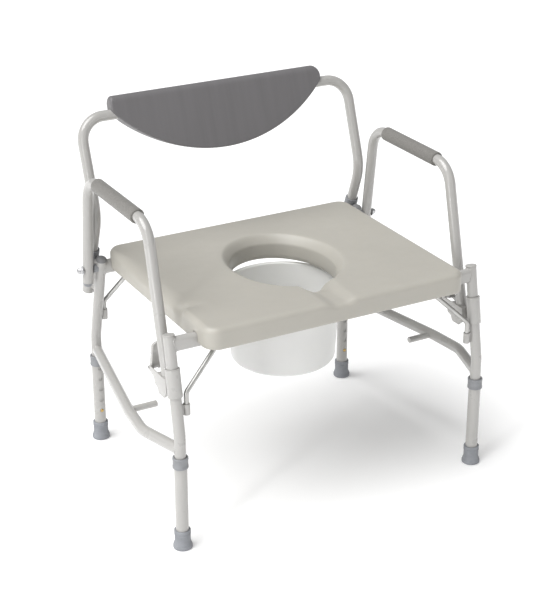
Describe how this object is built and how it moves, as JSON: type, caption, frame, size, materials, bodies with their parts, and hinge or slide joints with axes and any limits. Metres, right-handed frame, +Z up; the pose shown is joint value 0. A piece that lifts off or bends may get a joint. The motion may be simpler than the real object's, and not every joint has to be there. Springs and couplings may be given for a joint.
{
  "type": "commode chair",
  "caption": "Tubular steel commode chair with telescoping legs, drop-down padded arms, a lift-out backrest, a moulded seat with an oval opening and a sliding pail.",
  "frame": {"origin": "on the floor, under the middle of the whole chair's bounding box", "axes": "+Z up, front towards -Y, +X towards the right as seen from the front"},
  "size_m": [0.7602, 0.5472, 0.7621],
  "materials": {
    "frame_paint": "gloss powder coat",
    "bright_steel": "bright drawn steel",
    "chrome": "polished",
    "seat_plastic": "satin moulded",
    "pad_plastic": "satin moulded",
    "grip_foam": "matte foam",
    "tip_rubber": "matte rubber",
    "collar_plastic": "satin moulded",
    "cap_plastic": "satin moulded",
    "latch_plastic": "satin moulded",
    "pail_plastic": "satin moulded",
    "button_brass": "polished"
  },
  "bodies": {
    "frame": {"front_leg_left": "frame_paint", "front_leg_right": "frame_paint", "rear_leg_left": "frame_paint", "rear_leg_right": "frame_paint", "front_cross_rail": "frame_paint", "rear_cross_rail": "frame_paint", "side_brace_left": "frame_paint", "side_brace_right": "frame_paint", "front_leg_caps": "cap_plastic", "rear_leg_caps": "cap_plastic", "rod_sockets": "frame_paint", "rod_front_left": "bright_steel", "rod_front_right": "bright_steel", "rod_rear_left": "bright_steel", "rod_rear_right": "bright_steel", "button_springs": "bright_steel", "pivot_studs": "chrome", "pivot_spacers": "collar_plastic", "pivot_nuts": "chrome", "latch_sleeves": "latch_plastic", "backrest_sockets": "frame_paint", "socket_collars": "collar_plastic", "seat": "seat_plastic", "seat_screws": "bright_steel", "pail_rails": "frame_paint"},
    "leg_front_left": {"extension_front_left": "frame_paint", "collar_front_left": "collar_plastic", "foot_tip_front_left": "tip_rubber"},
    "leg_front_right": {"extension_front_right": "frame_paint", "collar_front_right": "collar_plastic", "foot_tip_front_right": "tip_rubber"},
    "leg_rear_left": {"extension_rear_left": "frame_paint", "collar_rear_left": "collar_plastic", "foot_tip_rear_left": "tip_rubber"},
    "leg_rear_right": {"extension_rear_right": "frame_paint", "collar_rear_right": "collar_plastic", "foot_tip_rear_right": "tip_rubber"},
    "snap_button_front_left": {"button_front_left": "button_brass"},
    "snap_button_front_right": {"button_front_right": "button_brass"},
    "snap_button_rear_left": {"button_rear_left": "button_brass"},
    "snap_button_rear_right": {"button_rear_right": "button_brass"},
    "arm_left": {"arm_tube_left": "frame_paint", "arm_grip_left": "grip_foam", "arm_plugs_left": "cap_plastic", "latch_housing_left": "latch_plastic", "latch_pin_left": "bright_steel", "latch_spring_left": "bright_steel"},
    "arm_right": {"arm_tube_right": "frame_paint", "arm_grip_right": "grip_foam", "arm_plugs_right": "cap_plastic", "latch_housing_right": "latch_plastic", "latch_pin_right": "bright_steel", "latch_spring_right": "bright_steel"},
    "lever_left": {"latch_lever_left": "latch_plastic"},
    "lever_right": {"latch_lever_right": "latch_plastic"},
    "backrest": {"backrest_tube": "frame_paint", "backrest_pad": "pad_plastic", "pad_screws": "bright_steel"},
    "pail": {"pail": "pail_plastic"},
    "pail_handle": {"pail_handle": "bright_steel"}
  },
  "joints": [
    {"name": "arm_drop_left", "type": "hinge", "parent": "frame", "child": "arm_left", "pos_m": [-0.336, 0.18543, 0.422], "axis": [1, 0, 0], "range_deg": [0, 76]},
    {"name": "arm_drop_right", "type": "hinge", "parent": "frame", "child": "arm_right", "pos_m": [0.336, 0.18543, 0.422], "axis": [1, 0, 0], "range_deg": [0, 76]},
    {"name": "latch_release_left", "type": "hinge", "parent": "arm_left", "child": "lever_left", "pos_m": [-0.336, -0.13857, 0.343], "axis": [-1, 0, 0], "range_deg": [0, 18], "stiffness_Nm_per_rad": 0.3},
    {"name": "latch_release_right", "type": "hinge", "parent": "arm_right", "child": "lever_right", "pos_m": [0.336, -0.13857, 0.343], "axis": [-1, 0, 0], "range_deg": [0, 18], "stiffness_Nm_per_rad": 0.3},
    {"name": "leg_height_front_left", "type": "slide", "parent": "frame", "child": "leg_front_left", "axis": [0, 0, -1], "range_m": [0, 0.1016]},
    {"name": "leg_height_front_right", "type": "slide", "parent": "frame", "child": "leg_front_right", "axis": [0, 0, -1], "range_m": [0, 0.1016]},
    {"name": "leg_height_rear_left", "type": "slide", "parent": "frame", "child": "leg_rear_left", "axis": [0, 0, -1], "range_m": [0, 0.1016]},
    {"name": "leg_height_rear_right", "type": "slide", "parent": "frame", "child": "leg_rear_right", "axis": [0, 0, -1], "range_m": [0, 0.1016]},
    {"name": "button_press_front_left", "type": "slide", "parent": "frame", "child": "snap_button_front_left", "axis": [0, -1, 0], "range_m": [0, 0.0026], "stiffness_N_per_m": 900},
    {"name": "button_press_front_right", "type": "slide", "parent": "frame", "child": "snap_button_front_right", "axis": [0, -1, 0], "range_m": [0, 0.0026], "stiffness_N_per_m": 900},
    {"name": "button_press_rear_left", "type": "slide", "parent": "frame", "child": "snap_button_rear_left", "axis": [0, 1, 0], "range_m": [0, 0.0026], "stiffness_N_per_m": 900},
    {"name": "button_press_rear_right", "type": "slide", "parent": "frame", "child": "snap_button_rear_right", "axis": [0, 1, 0], "range_m": [0, 0.0026], "stiffness_N_per_m": 900},
    {"name": "backrest_lift", "type": "slide", "parent": "frame", "child": "backrest", "axis": [0, -0.3371, 0.9415], "range_m": [0, 0.11]},
    {"name": "pail_slide", "type": "slide", "parent": "frame", "child": "pail", "axis": [0, 1, 0], "range_m": [0, 0.36]},
    {"name": "pail_handle_swing", "type": "hinge", "parent": "pail", "child": "pail_handle", "pos_m": [0, -0.03457, 0.378], "axis": [1, 0, 0], "range_deg": [0, 26]}
  ]
}
